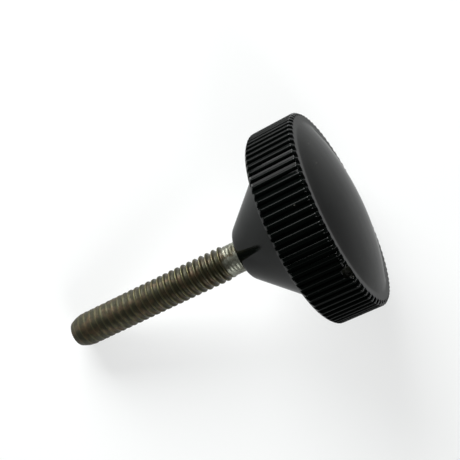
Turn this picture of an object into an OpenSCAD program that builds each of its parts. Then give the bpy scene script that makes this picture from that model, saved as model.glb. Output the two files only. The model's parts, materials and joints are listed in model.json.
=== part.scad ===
// Thumb screw: a fluted plastic knob moulded round the head of a threaded steel stud.
// Millimetres. The screw lies as it comes to rest, on its rim and the end of its stud,
// with the surface it lies on at z = 0 and the middle of its footprint at the origin.

/* [Knob] */
// Diameter of the knob over the crests of its ribs
knob_d = 35; // [32:0.5:45]
// Height of the fluted rim
rim_h = 8.6; // [7:0.1:14]
// Height of the cone hub, from its nose to the back of the rim
hub_h = 10.6; // [8:0.2:18]
// Diameter of the hub where it meets the back of the rim
hub_base_d = 27.2; // [20:0.2:30]
// Diameter of the hub's nose, before its edge is rounded
hub_nose_d = 8.9; // [8.6:0.1:12]
// Radius that rounds the hub's nose
hub_nose_r = 2.4; // [0.5:0.1:2.6]
// Width of the flat ring between the dome and the rim's edge
ring_w = 2.1; // [1.2:0.1:4]
// Rise of the domed face above the flat ring
dome_h = 2.4; // [0.8:0.1:4]
// Chamfer along both edges of the rim
rim_chamfer = 0.5; // [0.2:0.05:0.8]

/* [Flutes] */
// Number of ribs, and of flutes between them
flute_count = 80; // [60:1:90]
// Depth of the flutes
flute_depth = 0.36; // [0.2:0.02:0.4]
// Radius over the corners of each rib's rounded crest
rib_r = 0.42; // [0.4:0.01:0.5]

/* [Stud] */
// Diameter over the thread's crests
stud_d = 6.2; // [5.8:0.1:7]
// Length of stud that stands out of the hub
stud_l = 36.5; // [20:0.5:60]
// Diameter of the plain neck between the thread and the hub
neck_d = 5.6; // [4.8:0.1:5.7]
// Length of plain neck that shows outside the hub
neck_l = 3; // [1:0.5:8]
// Distance from one turn of the thread to the next
thread_pitch = 1.27; // [0.8:0.01:2]
// Depth of the thread
thread_depth = 0.68; // [0.4:0.02:0.8]
// Width of the flat along the thread's crest
crest_w = 0.16; // [0.1:0.02:0.3]
// Diameter of the flat end
tip_d = 4.7; // [3:0.1:5.2]
// Length of the tapered lead at the end
tip_l = 1.8; // [0.6:0.1:3]

/* [Anchor inside the knob] */
// Depth of the hexagon head's underside below the hub's nose
head_depth = 14.3; // [10:0.1:15]
// Width of the hexagon head across its flats
head_af = 11; // [8:0.5:13]
// Thickness of the hexagon head
head_h = 4; // [2:0.25:5]
// Gap between the steel and the plastic moulded round it
mould_gap = 0.02; // [0.01:0.01:0.1]

/* [Chip in the rim] */
// Angle of the chip round the rim, from its uppermost point
chip_angle = 32; // [-180:0.5:180]
// Width of the chip along the rim's front edge
chip_w = 2.2; // [1:0.1:4]
// Length of the chip down the rim
chip_l = 1.5; // [0.8:0.1:3]
// Depth of the chip at the front edge
chip_depth = 0.9; // [0.4:0.1:1.5]

/* [Hidden] */
$fn = 96;

knob_r = knob_d / 2;
core_r = knob_r - flute_depth;
rim_top = hub_h + rim_h;
stud_r = stud_d / 2;
neck_r = neck_d / 2;

// Each rib is half of a twelve-sided bar with a flat outwards
rib_sides = 12;
rib_x = knob_r - rib_r * cos(180 / rib_sides);
rib_flat = 2 * rib_r * sin(180 / rib_sides);

// The dome is the cap of a large sphere
dome_r = knob_r - ring_w;
dome_top = rim_top + dome_h;
dome_sphere_r = (pow(dome_r, 2) + pow(dome_h, 2)) / (2 * dome_h);

// Centre of the arc that rounds the hub's nose, tangent to its flat and to its cone
cone_angle = atan2((hub_base_d - hub_nose_d) / 2, hub_h);
nose_arc_x = hub_nose_d / 2 - hub_nose_r * tan((90 - cone_angle) / 2);

// The screw lies on two neighbouring ribs, where the rim's back chamfer ends,
// and on the stud, where its lead begins
rest_r = knob_r * cos(180 / flute_count) + rib_flat / 2 * sin(180 / flute_count);
rim_touch = hub_h + rim_chamfer;
stud_touch = stud_l - tip_l;
// Rise of the axis from the stud to the knob
lie_angle = atan2(rest_r - stud_r, rim_touch + stud_touch);
nose_height = rest_r * cos(lie_angle) - rim_touch * sin(lie_angle);
// Reach of the knob and of the stud along the surface, from the hub's nose
knob_reach = rim_top * cos(lie_angle) + (rest_r - rim_chamfer) * sin(lie_angle);
stud_reach = stud_l * cos(lie_angle) + tip_d / 2 * sin(lie_angle);

// How far joined solids run into each other, and cutters run past a face
lap = 1;

// Carries a piece from its own frame, with the hub's nose at the origin and the knob above it
// on +Z, to the pose in which the screw lies. The piece's +X side comes to lie lowermost.
module as_it_lies() {
  translate([(stud_reach - knob_reach) / 2, 0, nose_height])
    rotate([0, 90 - lie_angle, 0])
      children();
}

// Half of the hub's profile: flat nose, rounded corner and straight cone
module hub_profile() {
  polygon([
    [0, 0],
    [nose_arc_x, 0],
    [nose_arc_x + hub_nose_r * cos(cone_angle), hub_nose_r * (1 - sin(cone_angle))],
    [hub_base_d / 2, hub_h],
    [hub_base_d / 2, hub_h + lap],
    [0, hub_h + lap]
  ]);
  translate([nose_arc_x, hub_nose_r])
    circle(r = hub_nose_r);
}

// Half of the dome's profile
module dome_profile() {
  intersection() {
    translate([0, dome_top - dome_sphere_r])
      circle(r = dome_sphere_r, $fn = 720);
    translate([0, rim_top - lap])
      square([dome_r, dome_h + 2 * lap]);
  }
}

// Cross-section of the rim: a round core with a rib at every pitch,
// and a flute between two ribs lowermost
module rim_section() {
  circle(r = core_r, $fn = 4 * flute_count);
  for (i = [0:flute_count - 1])
    rotate((i + 0.5) * 360 / flute_count)
      translate([rib_x, 0])
        rotate(180 / rib_sides)
          circle(r = rib_r, $fn = rib_sides);
}

// Fluted rim, with its ribs chamfered at both ends
module rim() {
  chamfered_r = knob_r - rim_chamfer;
  intersection() {
    translate([0, 0, hub_h])
      linear_extrude(height = rim_h)
        rim_section();
    rotate_extrude($fn = 4 * flute_count)
      polygon([
        [0, hub_h - lap],
        [chamfered_r - lap, hub_h - lap],
        [knob_r + lap, rim_touch + lap],
        [knob_r + lap, rim_top - rim_chamfer - lap],
        [chamfered_r - lap, rim_top + lap],
        [0, rim_top + lap]
      ]);
  }
}

// Shell-shaped break in the rim's front edge, as a scoop by the one sphere that gives
// the chip its width, its length and its depth
module chip() {
  half_w = chip_w / 2;
  outward = (pow(half_w, 2) - pow(chip_depth, 2)) / (2 * chip_depth);
  upward = (pow(half_w, 2) - pow(chip_l, 2)) / (2 * chip_l);
  rotate(180 + chip_angle)
    translate([knob_r + outward, 0, rim_top + upward])
      sphere(r = norm([outward, upward, half_w]), $fn = 48);
}

// Neck and hexagon head of the stud, grown by a gap all round. The neck starts below the nose.
module anchor(gap, below) {
  translate([0, 0, -below])
    cylinder(r = neck_r + gap, h = below + head_depth + lap);
  translate([0, 0, head_depth - gap])
    cylinder(r = head_af / 2 / cos(30) + gap / cos(30), h = head_h + 2 * gap, $fn = 6);
}

module knob() {
  color("#1b1c1d")
    as_it_lies()
      difference() {
        union() {
          rotate_extrude()
            hub_profile();
          rim();
          rotate_extrude()
            dome_profile();
        }
        anchor(mould_gap, lap);
        chip();
      }
}

// Half of the thread's profile, with a ring for each turn of the thread. The ring nearest
// the end stops where the lead begins, so that the stud rests on its edge.
module thread_profile() {
  flank = thread_depth * tan(30);
  root_r = stud_r - thread_depth;
  first = crest_w / 2 - stud_touch;
  turns = floor((-neck_l - flank - first) / thread_pitch);
  polygon([
    [0, -stud_l],
    for (i = [-2:turns])
      for (corner = [[root_r, -crest_w / 2 - flank], [stud_r, -crest_w / 2], [stud_r, crest_w / 2], [root_r, crest_w / 2 + flank]])
        [corner[0], max(-stud_l, first + i * thread_pitch + corner[1])],
    [root_r, -neck_l],
    [0, -neck_l]
  ]);
}

// Steel stud: threaded length cut back to its tapered lead, plain neck and head
module threaded_stud() {
  color("#8d8479")
    as_it_lies() {
      intersection() {
        rotate_extrude()
          thread_profile();
        union() {
          translate([0, 0, -stud_l])
            cylinder(r1 = tip_d / 2, r2 = stud_r, h = tip_l);
          translate([0, 0, -stud_touch])
            cylinder(r = stud_r, h = stud_touch);
        }
      }
      anchor(0, neck_l + thread_depth / 2);
    }
}

knob();
threaded_stud();
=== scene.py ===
"""Thumb screw: a fluted black plastic knob moulded round the head of a threaded steel stud.

Run as a script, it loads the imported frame, makes both pieces, their finishes and the stage, and
sets the camera.
"""
import json
import math

import bpy
import numpy as np
from mathutils import Matrix, Vector


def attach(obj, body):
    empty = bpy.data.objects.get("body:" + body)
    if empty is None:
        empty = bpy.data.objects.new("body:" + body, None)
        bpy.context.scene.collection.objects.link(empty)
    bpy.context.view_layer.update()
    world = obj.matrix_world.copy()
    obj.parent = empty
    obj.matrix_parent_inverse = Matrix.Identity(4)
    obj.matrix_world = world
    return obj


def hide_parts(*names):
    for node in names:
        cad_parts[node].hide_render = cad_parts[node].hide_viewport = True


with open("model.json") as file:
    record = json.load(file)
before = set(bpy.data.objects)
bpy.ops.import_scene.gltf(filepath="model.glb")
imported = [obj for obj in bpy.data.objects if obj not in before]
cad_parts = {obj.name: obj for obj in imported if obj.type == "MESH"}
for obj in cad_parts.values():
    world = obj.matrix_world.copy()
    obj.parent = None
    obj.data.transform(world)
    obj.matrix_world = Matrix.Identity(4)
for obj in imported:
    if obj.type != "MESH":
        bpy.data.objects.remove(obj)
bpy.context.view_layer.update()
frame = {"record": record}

bl_info = {
    "name": "Thumb Screw",
    "version": (1, 0, 0),
    "blender": (4, 5, 0),
    "location": "3D View > Sidebar > Thumb Screw",
    "description": "Builds a fluted thumb screw, its finishes and a plain stage",
    "category": "Add Mesh",
}


# ---------------------------------------------------------------- settings


def length(name, description, default):
    """A property that holds a length in metres."""
    return bpy.props.FloatProperty(
        name=name, description=description, default=default, min=0.0, max=1.0,
        subtype="DISTANCE", unit="LENGTH", precision=5,
    )


def hex_colour(name, description, default):
    """A property that holds an sRGB colour as six hexadecimal digits."""
    return bpy.props.StringProperty(name=name, description=description, default=default, maxlen=7)


class KnobSettings(bpy.types.PropertyGroup):
    """Sizes and colours of the knob."""

    diameter: length("Diameter", "Diameter of the knob over the crests of its ribs", 0.035)
    rim_height: length("Rim height", "Height of the fluted rim", 0.0086)
    hub_height: length("Hub height", "Height of the cone hub, from its nose to the back of the rim", 0.0106)
    hub_base: length("Hub base", "Diameter of the hub where it meets the back of the rim", 0.0272)
    hub_nose: length("Hub nose", "Diameter of the hub's nose, before its edge is rounded", 0.0089)
    nose_radius: length("Nose radius", "Radius that rounds the hub's nose", 0.0024)
    ring_width: length("Ring width", "Width of the flat ring between the dome and the rim's edge", 0.0021)
    dome_height: length("Dome height", "Rise of the domed face above the flat ring", 0.0024)
    chamfer: length("Chamfer", "Chamfer along both edges of the rim", 0.0005)
    flute_count: bpy.props.IntProperty(
        name="Flutes", description="Number of ribs, and of flutes between them", default=80, min=60, max=90
    )
    flute_depth: length("Flute depth", "Depth of the flutes", 0.00036)
    rib_radius: length("Rib radius", "Radius of each rib's round crest", 0.00042)
    head_depth: length("Head depth", "Depth of the steel head's underside below the hub's nose", 0.0143)
    notch_depth: length("Notch depth", "Depth of the notches that the flutes leave in the ring", 0.00032)
    chip_angle: bpy.props.FloatProperty(
        name="Chip angle", description="Angle of the chip round the rim, from its uppermost point",
        default=math.radians(32), subtype="ANGLE", unit="ROTATION",
    )
    chip_width: length("Chip width", "Width of the chip along the rim's front edge", 0.0022)
    chip_length: length("Chip length", "Length of the chip down the rim", 0.0015)
    chip_depth: length("Chip depth", "Depth of the chip at the front edge", 0.0009)
    plastic: hex_colour("Plastic", "Colour of the moulded plastic", "#040605")
    dust: hex_colour("Dust", "Colour of dust and fine scuffs on the plastic", "#5d5c55")
    broken: hex_colour("Broken plastic", "Colour of the filler where the plastic is chipped", "#16170f")
    resin: hex_colour("Resin", "Colour of the resin between the filler's grains", "#050605")


class StudSettings(bpy.types.PropertyGroup):
    """Sizes and colours of the stud."""

    diameter: length("Diameter", "Diameter over the thread's crests", 0.0062)
    reach: length("Length", "Length of stud that stands out of the hub", 0.0365)
    pitch: length("Pitch", "Distance from one turn of the thread to the next", 0.00127)
    first_crest: length("First crest", "Distance of a crest on the +Y side below the hub's nose", 0.005117)
    neck: length("Neck", "Diameter of the plain neck between the thread and the hub", 0.0056)
    neck_length: length("Neck length", "Length of plain neck that shows outside the hub", 0.003)
    ring_depth: length("Ring depth", "Depth of the faint rings that the die left on the neck", 0.00006)
    run_out: length("Run-out", "Length over which the thread runs out into the neck", 0.0006)
    tip: length("Tip", "Diameter of the flat end", 0.0047)
    tip_length: length("Tip length", "Length of the tapered lead at the end", 0.0018)
    head_width: length("Head width", "Width of the hexagon head across its flats", 0.011)
    head_height: length("Head height", "Thickness of the hexagon head", 0.004)
    mould_gap: length("Mould gap", "Gap between the steel and the plastic moulded round it", 0.00002)
    steel: hex_colour("Steel", "Colour of the dulled steel", "#525039")
    bright: hex_colour("Worn steel", "Colour of the steel where its crests are worn", "#74756d")
    clean: hex_colour("Neck steel", "Colour of the cleaner steel of the neck", "#75776c")
    grime: hex_colour("Grime", "Colour of the old oil and dirt in the thread's roots", "#292819")
    rust: hex_colour("Rust", "Colour of the thin rust in patches on the steel", "#5a4432")


class StageSettings(bpy.types.PropertyGroup):
    """Floor, light and camera."""

    floor: hex_colour("Floor", "Colour of the floor", "#f1f4f3")
    lift: bpy.props.FloatProperty(
        name="Lift", description="Share of pure white that the camera sees in the floor",
        default=0.6, min=0, max=1,
    )
    horizon: hex_colour("Horizon", "Colour of the light from low all round", "#707672")
    ceiling: hex_colour("Ceiling", "Colour of the light from overhead", "#3c3e3f")
    left_lamp: bpy.props.FloatProperty(
        name="+Y lamp", description="Power of the soft lamp on the +Y side",
        default=3.9, min=0, unit="POWER",
    )
    right_lamp: bpy.props.FloatProperty(
        name="-Y lamp", description="Power of the soft lamp on the -Y side",
        default=0.9, min=0, unit="POWER",
    )
    low_lamp: bpy.props.FloatProperty(
        name="Low lamp", description="Power of the small lamp low on the -X side",
        default=0.35, min=0, unit="POWER",
    )
    lean: bpy.props.FloatProperty(
        name="Lean", description="Lean of the camera from straight overhead towards +X",
        default=math.radians(2.168), subtype="ANGLE", unit="ROTATION",
    )
    turn: bpy.props.FloatProperty(
        name="Turn", description="Turn of the camera about its own line of sight",
        default=math.radians(-25.604), subtype="ANGLE", unit="ROTATION",
    )
    place: bpy.props.FloatVectorProperty(
        name="Camera", description="Place of the camera", default=(0.011093, -0.000007, 0.159503),
        subtype="TRANSLATION", unit="LENGTH", precision=6,
    )
    lens: bpy.props.FloatProperty(
        name="Lens", description="Focal length on a sensor 36 mm wide", default=66.24, unit="CAMERA"
    )
    shift: bpy.props.FloatVectorProperty(
        name="Shift", description="Shift of the picture, in widths of the picture",
        size=2, default=(-0.0257, 0.0552),
    )


# ------------------------------------------------------------ shape helpers


def screw_axes():
    """The nose's place and the three directions of the screw's own frame.

    They come from the record's mounts: the stud's end face lies one stud length from the nose,
    and its axis points out of the hub. X points to the side that lies lowermost, Y is the row's Y
    and Z runs from the nose to the face.
    """
    mounts = {m["name"]: m for m in frame["record"]["mounts"]}
    face = -np.array(mounts["stud_end"].get("axis") or mounts["stud"]["axis"])
    face /= np.linalg.norm(face)
    side = np.array([0.0, 1.0, 0.0])
    down = np.cross(side, face)
    nose = np.array(mounts["stud_end"]["pos_m"]) + face * bpy.context.scene.stud_settings.reach
    return nose, down, side, face


def in_row_frame(radius, angle, height):
    """Cylindrical coordinates about the screw's axis, turned into points of the row frame.

    Each point is the nose, plus radius times the cosine and sine of its angle along the
    lowermost and Y directions, plus its height along the axis.
    """
    nose, down, side, face = screw_axes()
    return (
        nose
        + (radius * np.cos(angle))[..., None] * down
        + (radius * np.sin(angle))[..., None] * side
        + height[..., None] * face
    )


def turned_mesh(name, points, measures):
    """A closed mesh from a grid of points whose rows are loops and whose first and last rows are poles.

    Quads join neighbouring rows, with the last column joined back to the first, and a fan of
    triangles joins each pole to the row beside it. Rows run so that faces point outwards.
    measures holds one grid of numbers for each named attribute.
    """
    rows, columns = points.shape[:2]
    body = points[1:-1].reshape(-1, 3)
    vertices = np.vstack([points[:1, 0], body, points[-1:, 0]])
    index = 1 + np.arange((rows - 2) * columns).reshape(rows - 2, columns)
    across = np.roll(index, -1, axis=1)
    quads = np.stack([index[:-1], across[:-1], across[1:], index[1:]], axis=-1).reshape(-1, 4)
    first = np.stack([np.zeros(columns, int), across[0], index[0]], axis=-1)
    last = np.stack([np.full(columns, len(vertices) - 1), index[-1], across[-1]], axis=-1)

    corners = np.concatenate([first.ravel(), quads.ravel(), last.ravel()])
    sides = np.concatenate([np.full(columns, 3), np.full(len(quads), 4), np.full(columns, 3)])
    starts = np.concatenate([[0], np.cumsum(sides)[:-1]])

    mesh = bpy.data.meshes.new(name)
    mesh.vertices.add(len(vertices))
    mesh.vertices.foreach_set("co", vertices.astype(np.float32).ravel())
    mesh.loops.add(len(corners))
    mesh.loops.foreach_set("vertex_index", corners.astype(np.int32))
    mesh.polygons.add(len(sides))
    mesh.polygons.foreach_set("loop_start", starts.astype(np.int32))
    mesh.update(calc_edges=True)
    mesh.validate()
    mesh.shade_smooth()
    mesh.set_sharp_from_angle(angle=math.radians(50))
    for title, grid in measures.items():
        flat = np.concatenate([grid[:1, 0], grid[1:-1].ravel(), grid[-1:, 0]])
        mesh.attributes.new(title, "FLOAT", "POINT").data.foreach_set("value", flat.astype(np.float32))
    piece = bpy.data.objects.new(name, mesh)
    bpy.context.scene.collection.objects.link(piece)
    return piece


def smooth_min(a, b, width):
    """The lesser of two values, with the corner between them rounded over a width."""
    mixed = np.clip(0.5 + 0.5 * (b - a) / width, 0, 1)
    return b + (a - b) * mixed - width * mixed * (1 - mixed)


def smooth_step(low, high, value):
    """Rises from 0 at low to 1 at high, flat at both ends."""
    t = np.clip((value - low) / (high - low), 0, 1)
    return t * t * (3 - 2 * t)


def ripple(points, size, seed):
    """Smooth random relief between about -1 and 1: a sum of sine waves in fixed random directions,
    each with a wavelength near size, over half their number."""
    chance = np.random.default_rng(seed)
    total = np.zeros(points.shape[:-1])
    waves = 9
    for _ in range(waves):
        direction = chance.normal(size=3)
        direction /= np.linalg.norm(direction)
        wave = 2 * math.pi / (size * chance.uniform(0.6, 1.7))
        total += np.sin(points @ direction * wave + chance.uniform(0, 2 * math.pi))
    return total / (waves / 2)


# --------------------------------------------------------- material helpers


def linear(text):
    """An sRGB colour written as hexadecimal digits, as four linear numbers with an alpha of 1."""
    digits = text.lstrip("#")
    values = [int(digits[i:i + 2], 16) / 255 for i in (0, 2, 4)]
    return (*[v / 12.92 if v <= 0.04045 else ((v + 0.055) / 1.055) ** 2.4 for v in values], 1.0)


def add_node(tree, kind, inputs=None, **settings):
    """Adds one node. inputs gives values or outputs for its sockets, by name or by number."""
    node = tree.nodes.new(kind)
    for title, value in settings.items():
        setattr(node, title, value)
    for key, value in (inputs or {}).items():
        socket = node.inputs[key]
        if isinstance(value, bpy.types.NodeSocket):
            tree.links.new(value, socket)
        else:
            socket.default_value = value
    return node


def new_material(name):
    """An empty node material, with its output node."""
    material = bpy.data.materials.new(name)
    material.use_nodes = True
    material.node_tree.nodes.clear()
    return material, material.node_tree, material.node_tree.nodes.new("ShaderNodeOutputMaterial")


# ------------------------------------------------------------------ surfaces


def hexagon_radius(half_width, angle):
    """A hexagon's radius at each angle: its half width over the cosine of the turn from the middle
    of the nearest side."""
    side = math.radians(60)
    return half_width / np.cos((angle + side / 2) % side - side / 2)


def rim_columns(s):
    """The angle of each column round the knob, and the ribbed rim's radius there.

    Columns stand at equal turns round each rib's crest, and a few more cross each flute. Over a
    rib the radius is c cos d + sqrt(r^2 - c^2 sin^2 d), where the crest of radius r is centred at
    c and d is the angle from the rib's middle. In a flute it is the core's.
    """
    outer = s.diameter / 2
    core = outer - s.flute_depth
    crest_centre = outer - s.rib_radius
    columns_on_crest = 11
    flute_shares = np.array([0.22, 0.5, 0.78])

    half = math.radians(360 / s.flute_count / 2)
    foot = math.acos(
        (core**2 - crest_centre**2 - s.rib_radius**2) / (2 * crest_centre * s.rib_radius)
    )
    turn = np.linspace(-foot, foot, columns_on_crest)
    over_rib = np.arctan2(s.rib_radius * np.sin(turn), crest_centre + s.rib_radius * np.cos(turn))
    over_flute = over_rib[-1] + (2 * half - 2 * over_rib[-1]) * flute_shares
    offsets = np.concatenate([over_rib, over_flute])
    middles = (np.arange(s.flute_count) + 0.5) * 2 * half
    angle = (middles[:, None] + offsets[None, :]).ravel()
    crests = crest_centre * np.cos(over_rib) + np.sqrt(
        np.maximum(s.rib_radius**2 - (crest_centre * np.sin(over_rib)) ** 2, 0)
    )
    ribbed = np.tile(np.concatenate([crests, np.full(len(flute_shares), core)]), s.flute_count)
    return angle, ribbed


def knob_rows(s, stud, angle, ribbed):
    """Grids of the knob's radius and height, before it is chipped.

    The rows follow half a section: the hidden pocket round the stud's head, the bore, the rounded
    nose, the cone, the back of the rim, its side, the ring and the dome. The columns go round. On
    the rim's side the radius is the lesser of the ribs' and the chamfers' cones, with the corner
    between them rounded. The dome is a cap of height h and half width a, cut from a sphere of
    radius (a^2 + h^2) / 2h.
    """
    outer = s.diameter / 2
    rim_top = s.hub_height + s.rim_height
    plain = np.ones_like(angle)
    rows = []

    def row(radius, height):
        rows.append((radius * plain, height * plain))

    # The pocket keeps the mould gap from the steel, and the bore's mouth is slightly flared
    hexagon = hexagon_radius(stud.head_width / 2 + stud.mould_gap, angle)
    bore = stud.neck / 2 + stud.mould_gap
    floor = s.head_depth - stud.mould_gap
    roof = s.head_depth + stud.head_height + stud.mould_gap
    flare_depth = 0.0002
    flare_width = 0.00005
    row(0.0, roof)
    row(hexagon, roof)
    row(hexagon, floor)
    row(bore, floor)
    row(bore, flare_depth)
    row(bore + flare_width, 0.0)

    # Nose and cone, with a row just inside the nose's round that keeps its flat middle flat
    slope = math.atan2((s.hub_base - s.hub_nose) / 2, s.hub_height)
    centre = s.hub_nose / 2 - s.nose_radius * math.tan((math.pi / 2 - slope) / 2)
    rows_on_nose = 10
    row(centre - 0.0002, 0.0)
    for bend in np.linspace(0, math.pi / 2 - slope, rows_on_nose):
        row(centre + s.nose_radius * math.sin(bend), s.nose_radius * (1 - math.cos(bend)))
    base = s.hub_base / 2
    for part in (0.35, 0.7, 0.94):
        row(base + (centre + s.nose_radius * math.cos(slope) - base) * (1 - part),
            s.hub_height + (s.nose_radius * (1 - math.sin(slope)) - s.hub_height) * (1 - part))

    # A small fillet joins the cone to the back of the rim, which then runs flat to the chamfer
    for out, down in ((-0.0001, 0.00013), (0.00012, 0.00001), (0.0004, 0.0)):
        row(base + out, s.hub_height - down)
    for back in (0.0006, 0.0001):
        row(outer - s.chamfer - back, s.hub_height)

    # The rim's side, closest together where the chamfers cut the ribs and round the chip
    chamfer_shares = np.array([0, 0.12, 0.26, 0.4, 0.55, 0.7, 0.85, 1.0, 1.2, 1.5])
    rows_on_chip = 9
    rows_between = 4
    rib_end_round = 0.00009
    near_back = s.hub_height + s.chamfer * chamfer_shares
    near_front = rim_top - s.chamfer * chamfer_shares[::-1]
    chipped = np.linspace(rim_top - s.chip_length * 1.25, rim_top - s.chamfer * 1.75, rows_on_chip)
    middle = np.linspace(near_back[-1], chipped[0], rows_between + 2)[1:-1]
    side = np.unique(np.concatenate([near_back, middle, chipped, near_front]))
    # The flutes run a little into the ring's edge, which leaves it notched
    notch = s.notch_depth * (outer - ribbed) / s.flute_depth
    for height in side:
        cone = outer - s.chamfer + min(height - s.hub_height, rim_top - height)
        notched = notch * smooth_step(rim_top - 1.3 * s.chamfer, rim_top, height)
        row(smooth_min(ribbed, cone * plain, rib_end_round) - notched, height)

    # The ring, on which the notches fade out, the small round at the dome's foot, and the dome
    dome = outer - s.ring_width
    ball = (dome**2 + s.dome_height**2) / (2 * s.dome_height)
    notch_shares = (1, 0.8, 0.6, 0.3, 0, 0)
    rows_on_dome = 16
    inner = np.linspace(outer - s.chamfer - 0.00008, outer - s.chip_depth * 1.35, len(notch_shares))
    for radius, share in zip(inner, notch_shares):
        row(radius - share * notch, rim_top)
    for out, up in ((0.0004, 0.0), (0.0001, 0.00001), (-0.00004, 0.00004)):
        row(dome + out, rim_top + up)
    for part in np.linspace(0.02, 1, rows_on_dome):
        radius = (dome - 0.0001) * (1 - part)
        row(radius, rim_top + s.dome_height - ball + math.sqrt(ball**2 - radius**2))
    return np.array([r for r, _ in rows]), np.array([h for _, h in rows])


def chip_cut(s, radius, angle, height):
    """How far the chip moves each point of the knob, halfway between straight inwards and down.

    The chip is cut by a sphere that passes through the chip's width, length and depth at the rim's
    front edge. A point p from its centre that lies inside its radius r moves in the direction d by
    -p.d + sqrt((p.d)^2 + r^2 - p.p), which is where it meets the sphere.
    """
    outer = s.diameter / 2
    rim_top = s.hub_height + s.rim_height
    half_width = s.chip_width / 2
    outward = (half_width**2 - s.chip_depth**2) / (2 * s.chip_depth)
    upward = (half_width**2 - s.chip_length**2) / (2 * s.chip_length)
    sphere = math.sqrt(outward**2 + upward**2 + half_width**2)
    around = angle - math.pi - s.chip_angle
    from_centre = np.stack([
        radius * np.cos(around) - outer - outward, radius * np.sin(around), height - rim_top - upward
    ], axis=-1)
    inwards = np.stack([-np.cos(around), -np.sin(around), -np.ones_like(around)], axis=-1) / math.sqrt(2)
    along = (from_centre * inwards).sum(-1)
    inside = sphere**2 - (from_centre**2).sum(-1)
    on_rim = height > s.hub_height
    cut = np.where((inside > 0) & on_rim, -along + np.sqrt(np.maximum(along**2 + inside, 0)), 0)

    # The break is not smooth: it keeps small steps and a shallow grain, which fade at its edge
    edge_fade = 0.0003
    step_height, step_size = 0.00007, 0.0007
    grain_height, grain_size = 0.00003, 0.00028
    where = np.stack([radius * np.cos(angle), radius * np.sin(angle), height], axis=-1)
    rough = step_height * ripple(where, step_size, 5) + grain_height * ripple(where, grain_size, 6)
    return np.maximum(cut + np.where(cut > 0, rough * smooth_step(0, edge_fade, cut), 0), 0)


def knob_surface(s, stud):
    """The knob's surface as radius, angle and height on a grid, with grids of three measures.

    chip is 1 where the chip is a tenth of a millimetre deep or more, and fades to 0 at its edge.
    cone is 1 on the hub. rib_end is 1 on the chamfered front ends of the ribs, less on their back
    ends, and 0 elsewhere.
    """
    angle, ribbed = rim_columns(s)
    radius, height = knob_rows(s, stud, angle, ribbed)
    angle = np.broadcast_to(angle, radius.shape)
    cut = chip_cut(s, radius, angle, height)

    margin = 0.00005
    back_share = 0.4
    from_front = s.hub_height + s.rim_height - height
    from_back = height - s.hub_height
    front_end = (from_front > margin) & (from_front < 1.1 * s.chamfer)
    back_end = (from_back > margin) & (from_back < 1.1 * s.chamfer)
    on_side = radius > s.diameter / 2 - s.chamfer
    rib_end = np.where(on_side, 1.0 * front_end + back_share * back_end, 0.0)

    radius = radius - cut / math.sqrt(2)
    height = height - cut / math.sqrt(2)
    full_colour_depth = 0.0001
    return radius, angle, height, {
        "chip": np.clip(cut / full_colour_depth, 0, 1),
        "cone": np.where(height < s.hub_height - margin, 1.0, 0.0),
        "rib_end": rib_end,
    }


def thread_phase(s, angle, height):
    """Turns of the thread from a crest: the height from a crest on the +Y side over the pitch, less
    the turn from that side, so the crest climbs one pitch a turn to the right."""
    return (height + s.first_crest) / s.pitch - (angle - math.pi / 2) / (2 * math.pi)


def neck_radius(s, phase):
    """The neck's radius, less the faint rings that the die left, two to a turn of the thread."""
    return s.neck / 2 - s.ring_depth * (0.5 + 0.5 * np.cos(4 * math.pi * phase))


def threaded_part(s, angle):
    """Grids of radius and height from the stud's end to the neck, and of raised, wear and neck.

    The depth below the crest grows from the crest's flat at the slope of a 60-degree thread and
    levels off at the root's round. Towards the end the crests are worn wider and the roots are
    filled, and near the hub the thread runs out into the neck. The lead is a cone, and the radius
    is the lesser of the two. raised is 1 along the crests and less towards the roots, whether or
    not the roots are filled. wear is 1 at the end. neck is 1 where the thread has run out.
    """
    crest = s.diameter / 2
    end = s.tip / 2
    rows_to_a_turn = 24

    # The flat end and its small round, as pairs of radius and height above the end
    tip_rows = np.array([
        (0.0, 0.0), (end - 0.0009, 0.0), (end - 0.0004, 0.0), (end - 0.00022, 0.00001),
        (end - 0.00008, 0.00006),
    ])
    first_row = 0.00014
    past_thread = 0.0003
    threaded = np.arange(first_row, s.reach - s.neck_length + past_thread, s.pitch / rows_to_a_turn)
    height = np.concatenate([tip_rows[:, 1], threaded]) - s.reach
    z, turn = np.meshgrid(height, angle, indexing="ij")
    phase = thread_phase(s, turn, z)
    from_crest = np.abs(phase - np.round(phase)) * s.pitch
    where = np.stack([crest * np.cos(turn), crest * np.sin(turn), z], axis=-1)

    # Wear grows from near the hub to near the end, unevenly
    worn_fully, worn_least = -0.034, -0.002
    patch_size, patch_strength = 0.006, 0.12
    wear = 1 - smooth_step(worn_fully, worn_least, z) + patch_strength * ripple(where, patch_size, 11)
    wear = np.clip(wear, 0, 1)

    # The crest's half flat and the depth are shares of the pitch
    flat = s.pitch * (0.045 + 0.055 * wear)
    full = 0.4 * s.pitch * (1 - 0.92 * wear)
    slope = math.sqrt(3) * (1 - 0.75 * wear)
    root_round = 0.00018 * (1 - 0.8 * wear)
    depth = smooth_min(np.maximum(from_crest - flat, 0) * slope, full, root_round)
    depth = np.maximum(depth, 0)
    # Small bruises and grime keep the crests from being even
    bruise_depth, bruise_size, usual_depth = 0.000022, 0.0016, 0.000018
    depth = np.maximum(depth + bruise_depth * ripple(where, bruise_size, 12) + usual_depth, 0)

    out = smooth_step(-s.neck_length - s.run_out, -s.neck_length + 0.0001, z)
    radius = (crest - depth) * (1 - out) + neck_radius(s, phase) * out
    lead = end + (z + s.reach) * (crest - end) / s.tip_length
    lead_round = 0.00045
    radius = smooth_min(radius, lead, lead_round)
    radius[: len(tip_rows)] = tip_rows[:, :1]

    crest_width = 0.00026
    raised = 1 - smooth_step(0.0, crest_width, from_crest + 0.00008 * wear) * (1 - 0.25 * wear)
    raised = raised * (1 - 0.15 * wear) * (1 - out)
    return radius, z, raised, wear, out


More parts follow.
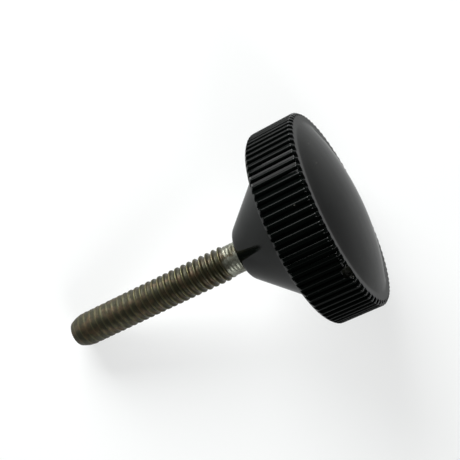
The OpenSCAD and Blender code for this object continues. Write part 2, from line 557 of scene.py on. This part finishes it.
def stud_surface(s, knob):
    """The stud's surface as radius, angle and height on a grid, with grids of three measures.

    The rows run from the middle of the flat end up the thread and the neck, and then over the
    hidden hexagon head, and the columns go round. The measures are raised, wear and neck, and past
    the thread they are 0, 0 and 1.
    """
    columns = 96
    angle = np.arange(columns) * 2 * math.pi / columns
    plain = np.ones(columns)
    radius, height, raised, wear, out = threaded_part(s, angle)

    neck = s.neck / 2
    hexagon = hexagon_radius(s.head_width / 2, angle)
    head_top = knob.head_depth + s.head_height
    past_thread = 0.0004
    row_step = 0.00007
    shown = np.arange(-s.neck_length + past_thread, 0.0, row_step)
    more = [(neck_radius(s, thread_phase(s, angle, h)), h) for h in shown]
    more += [
        (neck, 0.0002), (neck, knob.head_depth - 0.0001), (neck, knob.head_depth),
        (hexagon, knob.head_depth), (hexagon, head_top), (0.0, head_top),
    ]
    radius = np.vstack([radius, [r * plain for r, _ in more]])
    height = np.vstack([height, [h * plain for _, h in more]])
    nothing = np.zeros((len(more), columns))
    return radius, np.broadcast_to(angle, radius.shape), height, {
        "raised": np.vstack([raised, nothing]),
        "wear": np.vstack([wear, nothing]),
        "neck": np.vstack([out, nothing + 1]),
    }


# ----------------------------------------------------------------- materials


# Scales of the patterns, in cells to the metre, each from the real size that stands beside it
HAZE_SCALE = 160.0  # clouds of wiping and handling, 6 mm
SKIN_SCALE = 2600.0  # fine relief of the moulded skin, 0.4 mm
DUST_SCALE = 900.0  # distance between specks of dust, 1.1 mm
FILLER_SCALE = 4200.0  # grain of the filler in the break, 0.24 mm
BLOTCH_SCALE = 420.0  # blotches of old oil, 2.4 mm
GRIT_SCALE = 3200.0  # pits in the steel, 0.3 mm: the real ones are finer and wouldn't show
RUST_SCALE = 700.0  # patches of rust, 1.4 mm

# Two pale specks on the dome: their places, and the distances between which they fade out
DOME_SPECKS = ((0.02315, 0.01137, 0.02535), (0.02275, 0.00791, 0.02768))
SPECK_EDGE = (0.0001, 0.00022)

# Specular level of the plastic by slant, which is 0 where the surface faces the eye and 1 at its
# outline. New plastic has 0.5 throughout
SHEEN = (
    (0.0, 0.03), (0.35, 0.03), (0.5, 0.04), (0.6, 0.036), (0.7, 0.024), (0.8, 0.0115), (0.88, 0.004),
    (0.95, 0.0005),
)
# The share by which the cone's level is higher, and the level that the ends of the ribs have on top
CONE_GAIN = 0.65
RIB_END_LEVEL = 0.12


def black_moulded_phenolic(s):
    """Phenolic, moulded in a polished steel tool and aged.

    The tool leaves a mirror-like skin, so the eye sees black with sharp reflections. Years of
    handling leave a faint haze and specks of dust, and the haze takes most of the mirror's
    strength. Where it breaks, the wood filler shows dull and dark olive.
    """
    material, tree, output = new_material("Black moulded phenolic")
    place = add_node(tree, "ShaderNodeTexCoord").outputs["Object"]
    chip = add_node(tree, "ShaderNodeAttribute", attribute_name="chip").outputs["Fac"]

    haze = add_node(tree, "ShaderNodeTexNoise", {
        "Vector": place, "Scale": HAZE_SCALE, "Detail": 4.0, "Roughness": 0.6})
    skin = add_node(tree, "ShaderNodeTexNoise", {
        "Vector": place, "Scale": SKIN_SCALE, "Detail": 3.0, "Roughness": 0.65})
    # Dust: specks about 0.15 mm across in a few of the cells, and the two on the dome
    cells = add_node(tree, "ShaderNodeTexVoronoi", {"Vector": place, "Scale": DUST_SCALE, "Randomness": 1.0})
    speck = add_node(tree, "ShaderNodeMapRange", {
        "Value": cells.outputs["Distance"], "From Min": 0.05, "From Max": 0.12, "To Min": 1.0, "To Max": 0.0})
    rare = add_node(tree, "ShaderNodeMapRange", {
        "Value": cells.outputs["Color"], "From Min": 0.88, "From Max": 0.93})
    dusty = add_node(tree, "ShaderNodeMath", {0: speck.outputs[0], 1: rare.outputs[0]}, operation="MULTIPLY")
    for spot in DOME_SPECKS:
        away = add_node(tree, "ShaderNodeVectorMath", {0: place, 1: spot}, operation="DISTANCE")
        near = add_node(tree, "ShaderNodeMapRange", {
            "Value": away.outputs["Value"], "From Min": SPECK_EDGE[0], "From Max": SPECK_EDGE[1],
            "To Min": 0.35, "To Max": 0.0})
        dusty = add_node(tree, "ShaderNodeMath", {
            0: dusty.outputs[0], 1: near.outputs[0]}, operation="MAXIMUM")

    colour = add_node(tree, "ShaderNodeMix", {
        0: dusty.outputs[0], 6: linear(s.plastic), 7: linear(s.dust)}, data_type="RGBA")
    grain = add_node(tree, "ShaderNodeTexNoise", {
        "Vector": place, "Scale": FILLER_SCALE, "Detail": 5.0, "Roughness": 0.7})
    fracture = add_node(tree, "ShaderNodeMix", {
        0: grain.outputs["Fac"], 6: linear(s.resin), 7: linear(s.broken)}, data_type="RGBA")
    surface = add_node(tree, "ShaderNodeMix", {
        0: chip, 6: colour.outputs[2], 7: fracture.outputs[2]}, data_type="RGBA")

    # Polished but for the haze, and dull and rough in the break
    polish = add_node(tree, "ShaderNodeMapRange", {
        "Value": haze.outputs["Fac"], "From Min": 0.3, "From Max": 0.7, "To Min": 0.03, "To Max": 0.06})
    roughness = add_node(tree, "ShaderNodeMix", {0: chip, 2: polish.outputs[0], 3: 0.75}, data_type="FLOAT")
    relief = add_node(tree, "ShaderNodeMix", {
        0: chip, 2: skin.outputs["Fac"], 3: grain.outputs["Fac"]}, data_type="FLOAT")
    strength = add_node(tree, "ShaderNodeMix", {0: chip, 2: 0.03, 3: 0.8}, data_type="FLOAT")
    bump = add_node(tree, "ShaderNodeBump", {
        "Height": relief.outputs[0], "Strength": strength.outputs[0], "Distance": 0.0001})

    slant = add_node(tree, "ShaderNodeLayerWeight", {"Blend": 0.5}).outputs["Facing"]
    ramp = add_node(tree, "ShaderNodeValToRGB", {"Fac": slant})
    stops = ramp.color_ramp.elements
    while len(stops) < len(SHEEN):
        stops.new(0.5)
    for stop, (position, level) in zip(stops, SHEEN):
        stop.position = position
        stop.color = (level, level, level, 1)
    # The cone is handled less than the rest, so it keeps more of its polish
    cone = add_node(tree, "ShaderNodeAttribute", attribute_name="cone").outputs["Fac"]
    kept = add_node(tree, "ShaderNodeMath", {0: cone, 1: CONE_GAIN, 2: 1.0}, operation="MULTIPLY_ADD")
    cloud = add_node(tree, "ShaderNodeMapRange", {
        "Value": haze.outputs["Fac"], "From Min": 0.3, "From Max": 0.7, "To Min": 0.9, "To Max": 1.1})
    gain = add_node(tree, "ShaderNodeMath", {0: kept.outputs[0], 1: cloud.outputs[0]}, operation="MULTIPLY")
    sheen = add_node(tree, "ShaderNodeMath", {
        0: ramp.outputs["Color"], 1: gain.outputs[0]}, operation="MULTIPLY")
    # The ends of the ribs keep a glint nearer that of new plastic
    rib_end = add_node(tree, "ShaderNodeAttribute", attribute_name="rib_end").outputs["Fac"]
    sheen = add_node(tree, "ShaderNodeMath", {
        0: rib_end, 1: RIB_END_LEVEL, 2: sheen.outputs[0]}, operation="MULTIPLY_ADD")

    shader = add_node(tree, "ShaderNodeBsdfPrincipled", {
        "Base Color": surface.outputs[2], "Roughness": roughness.outputs[0], "IOR": 1.5,
        "Specular IOR Level": sheen.outputs[0], "Normal": bump.outputs[0]})
    tree.links.new(shader.outputs[0], output.inputs["Surface"])
    return material


def dulled_rolled_steel(s):
    """Plain low-carbon steel with a rolled thread, dulled by age and old oil.

    Rubbing in the nut brightens the crests, old oil and grime stay in the roots, and thin rust lies
    in patches, so the eye sees pale crest lines over a dark olive ground. The neck, which no nut
    reaches, is cleaner and paler.
    """
    material, tree, output = new_material("Dulled rolled steel")
    place = add_node(tree, "ShaderNodeTexCoord").outputs["Object"]
    raised = add_node(tree, "ShaderNodeAttribute", attribute_name="raised").outputs["Fac"]
    wear = add_node(tree, "ShaderNodeAttribute", attribute_name="wear").outputs["Fac"]
    neck = add_node(tree, "ShaderNodeAttribute", attribute_name="neck").outputs["Fac"]

    blotch = add_node(tree, "ShaderNodeTexNoise", {
        "Vector": place, "Scale": BLOTCH_SCALE, "Detail": 5.0, "Roughness": 0.6})
    grit = add_node(tree, "ShaderNodeTexNoise", {
        "Vector": place, "Scale": GRIT_SCALE, "Detail": 4.0, "Roughness": 0.7})
    # Height in the thread, made uneven by the blotches, runs from grime through steel to worn steel
    uneven = add_node(tree, "ShaderNodeMath", {
        0: blotch.outputs["Fac"], 1: 0.5, 2: raised}, operation="MULTIPLY_ADD")
    wiped = add_node(tree, "ShaderNodeMapRange", {
        "Value": uneven.outputs[0], "From Min": 0.45, "From Max": 1.0})
    crest = add_node(tree, "ShaderNodeMapRange", {
        "Value": uneven.outputs[0], "From Min": 1.12, "From Max": 1.5})
    body = add_node(tree, "ShaderNodeMix", {
        0: wiped.outputs[0], 6: linear(s.grime), 7: linear(s.steel)}, data_type="RGBA")
    crested = add_node(tree, "ShaderNodeMix", {
        0: crest.outputs[0], 6: body.outputs[2], 7: linear(s.bright)}, data_type="RGBA")
    # Thin rust in patches
    patches = add_node(tree, "ShaderNodeTexNoise", {
        "Vector": place, "Scale": RUST_SCALE, "Detail": 3.0, "Roughness": 0.55})
    rusty = add_node(tree, "ShaderNodeMapRange", {
        "Value": patches.outputs["Fac"], "From Min": 0.48, "From Max": 0.68, "To Max": 0.38})
    thread = add_node(tree, "ShaderNodeMix", {
        0: rusty.outputs[0], 6: crested.outputs[2], 7: linear(s.rust)}, data_type="RGBA")
    # The neck is cleaner, in patches
    rubbed = add_node(tree, "ShaderNodeMapRange", {
        "Value": blotch.outputs["Fac"], "From Min": 0.42, "From Max": 0.58, "To Min": 0.0, "To Max": 0.95})
    bare = add_node(tree, "ShaderNodeMath", {0: rubbed.outputs[0], 1: neck}, operation="MULTIPLY")
    colour = add_node(tree, "ShaderNodeMix", {
        0: bare.outputs[0], 6: thread.outputs[2], 7: linear(s.clean)}, data_type="RGBA")

    # Grime hides part of the metal, and the worn end is the roughest
    metal = add_node(tree, "ShaderNodeMapRange", {"Value": wiped.outputs[0], "To Min": 0.7, "To Max": 1.0})
    worn = add_node(tree, "ShaderNodeMath", {0: wear, 1: 0.12, 2: 0.34}, operation="MULTIPLY_ADD")
    roughness = add_node(tree, "ShaderNodeMath", {
        0: grit.outputs["Fac"], 1: 0.16, 2: worn.outputs[0]}, operation="MULTIPLY_ADD")
    bump = add_node(tree, "ShaderNodeBump", {
        "Height": grit.outputs["Fac"], "Strength": 0.35, "Distance": 0.00008})
    shader = add_node(tree, "ShaderNodeBsdfPrincipled", {
        "Base Color": colour.outputs[2], "Metallic": metal.outputs[0], "Roughness": roughness.outputs[0],
        "Normal": bump.outputs[0]})
    tree.links.new(shader.outputs[0], output.inputs["Surface"])
    return material


def matt_paper(s):
    """Seamless background paper: uncoated, so it gives an even pale ground with soft shadows.

    The camera and mirror-like surfaces see it part of the way to pure white, so its shadows are
    faint.
    """
    material, tree, output = new_material("Matt background paper")
    shader = add_node(tree, "ShaderNodeBsdfPrincipled", {
        "Base Color": linear(s.floor), "Roughness": 0.9, "Specular IOR Level": 0.1})
    ray = add_node(tree, "ShaderNodeLightPath")
    seen = add_node(tree, "ShaderNodeMath", {
        0: ray.outputs["Is Camera Ray"], 1: ray.outputs["Is Glossy Ray"]}, operation="ADD")
    seen = add_node(tree, "ShaderNodeMath", {
        0: seen.outputs[0], 1: ray.outputs["Is Transmission Ray"]}, operation="ADD")
    share = add_node(tree, "ShaderNodeMath", {
        0: seen.outputs[0], 1: s.lift}, operation="MULTIPLY", use_clamp=True)
    white = add_node(tree, "ShaderNodeEmission", {"Color": (1, 1, 1, 1), "Strength": 1.0})
    surface = add_node(tree, "ShaderNodeMixShader", {
        0: share.outputs[0], 1: shader.outputs[0], 2: white.outputs[0]})
    tree.links.new(surface.outputs[0], output.inputs["Surface"])
    return material


# ----------------------------------------------------------------- operators


class THUMBSCREW_OT_knob(bpy.types.Operator):
    """Make the moulded knob, with its ribs, dome, cone hub and chip"""

    bl_idname = "thumbscrew.knob"
    bl_label = "Knob"

    def execute(self, context):
        settings = context.scene.knob_settings
        radius, angle, height, measures = knob_surface(settings, context.scene.stud_settings)
        knob = turned_mesh("moulded_knob", in_row_frame(radius, angle, height), measures)
        knob.data.materials.append(black_moulded_phenolic(settings))
        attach(knob, "root")
        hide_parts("knob")
        return {"FINISHED"}


class THUMBSCREW_OT_stud(bpy.types.Operator):
    """Make the threaded steel stud, with its lead, thread, neck and hidden head"""

    bl_idname = "thumbscrew.stud"
    bl_label = "Stud"

    def execute(self, context):
        settings = context.scene.stud_settings
        radius, angle, height, measures = stud_surface(settings, context.scene.knob_settings)
        stud = turned_mesh("rolled_stud", in_row_frame(radius, angle, height), measures)
        stud.data.materials.append(dulled_rolled_steel(settings))
        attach(stud, "root")
        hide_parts("threaded_stud")
        return {"FINISHED"}


class THUMBSCREW_OT_stage(bpy.types.Operator):
    """Make the floor, the soft lamps, the surrounding light and the camera"""

    bl_idname = "thumbscrew.stage"
    bl_label = "Stage"

    def execute(self, context):
        scene = context.scene
        s = scene.stage_settings
        scene.view_settings.view_transform = "Standard"

        # The floor's top lies just below the part, so the two never share a plane
        reach = 1.5
        drop = 0.00002
        corners = [(x * reach, y * reach, -drop) for x, y in ((-1, -1), (1, -1), (1, 1), (-1, 1))]
        mesh = bpy.data.meshes.new("floor")
        mesh.from_pydata(corners, [], [(0, 1, 2, 3)])
        floor = bpy.data.objects.new("floor", mesh)
        scene.collection.objects.link(floor)
        floor.data.materials.append(matt_paper(s))

        # Light from all round: pale near the horizon and dim overhead
        world = bpy.data.worlds.new("Studio")
        scene.world = world
        world.use_nodes = True
        tree = world.node_tree
        tree.nodes.clear()
        way = add_node(tree, "ShaderNodeTexCoord").outputs["Generated"]
        up = add_node(tree, "ShaderNodeSeparateXYZ", {0: way}).outputs["Z"]
        rise = add_node(tree, "ShaderNodeMapRange", {
            "Value": up, "From Min": 0.25, "From Max": 0.75}, interpolation_type="SMOOTHSTEP")
        sky = add_node(tree, "ShaderNodeMix", {
            0: rise.outputs[0], 6: linear(s.horizon), 7: linear(s.ceiling)}, data_type="RGBA")
        background = add_node(tree, "ShaderNodeBackground", {"Color": sky.outputs[2], "Strength": 1.0})
        add_node(tree, "ShaderNodeOutputWorld", {"Surface": background.outputs[0]})

        # Disk lamps, each by its name, place, power and diameter, all turned to the part's middle
        aim = Vector((0.005, 0.0, 0.012))
        for name, place, power, size in (
            ("left_lamp", (0.0, 0.36, 0.13), s.left_lamp, 0.3),
            ("right_lamp", (0.0, -0.32, 0.18), s.right_lamp, 0.22),
            ("low_lamp", (-0.32, 0.18, 0.05), s.low_lamp, 0.08),
        ):
            lamp = bpy.data.lights.new(name, "AREA")
            lamp.shape = "DISK"
            lamp.size = size
            lamp.energy = power
            holder = bpy.data.objects.new(name, lamp)
            holder.location = place
            holder.rotation_euler = (aim - Vector(place)).to_track_quat("-Z", "Y").to_euler()
            scene.collection.objects.link(holder)

        camera = bpy.data.cameras.new("camera")
        camera.sensor_width = 36.0
        camera.lens = s.lens
        camera.shift_x, camera.shift_y = s.shift
        camera.clip_start, camera.clip_end = 0.01, 10.0
        holder = bpy.data.objects.new("camera", camera)
        holder.matrix_world = (
            Matrix.Translation(s.place) @ Matrix.Rotation(s.lean, 4, "Y") @ Matrix.Rotation(s.turn, 4, "Z"))
        scene.collection.objects.link(holder)
        scene.camera = holder
        return {"FINISHED"}


class THUMBSCREW_PT_panel(bpy.types.Panel):
    """The thumb screw's settings and operators"""

    bl_label = "Thumb Screw"
    bl_idname = "THUMBSCREW_PT_panel"
    bl_space_type = "VIEW_3D"
    bl_region_type = "UI"
    bl_category = "Thumb Screw"

    def draw(self, context):
        for title, settings, operator in (
            ("Knob", context.scene.knob_settings, THUMBSCREW_OT_knob),
            ("Stud", context.scene.stud_settings, THUMBSCREW_OT_stud),
            ("Stage", context.scene.stage_settings, THUMBSCREW_OT_stage),
        ):
            box = self.layout.box()
            box.label(text=title)
            for name in settings.__annotations__:
                box.prop(settings, name)
            box.operator(operator.bl_idname)


CLASSES = (
    KnobSettings, StudSettings, StageSettings,
    THUMBSCREW_OT_knob, THUMBSCREW_OT_stud, THUMBSCREW_OT_stage, THUMBSCREW_PT_panel,
)


def register():
    """Register the classes, and keep their settings on the scene."""
    for cls in CLASSES:
        bpy.utils.register_class(cls)
    bpy.types.Scene.knob_settings = bpy.props.PointerProperty(type=KnobSettings)
    bpy.types.Scene.stud_settings = bpy.props.PointerProperty(type=StudSettings)
    bpy.types.Scene.stage_settings = bpy.props.PointerProperty(type=StageSettings)


def unregister():
    """Take the settings off the scene, and the classes out of Blender."""
    del bpy.types.Scene.stage_settings
    del bpy.types.Scene.stud_settings
    del bpy.types.Scene.knob_settings
    for cls in reversed(CLASSES):
        bpy.utils.unregister_class(cls)


def main():
    register()
    bpy.ops.thumbscrew.stage()
    bpy.ops.thumbscrew.knob()
    bpy.ops.thumbscrew.stud()


if __name__ == "__main__":
    main()
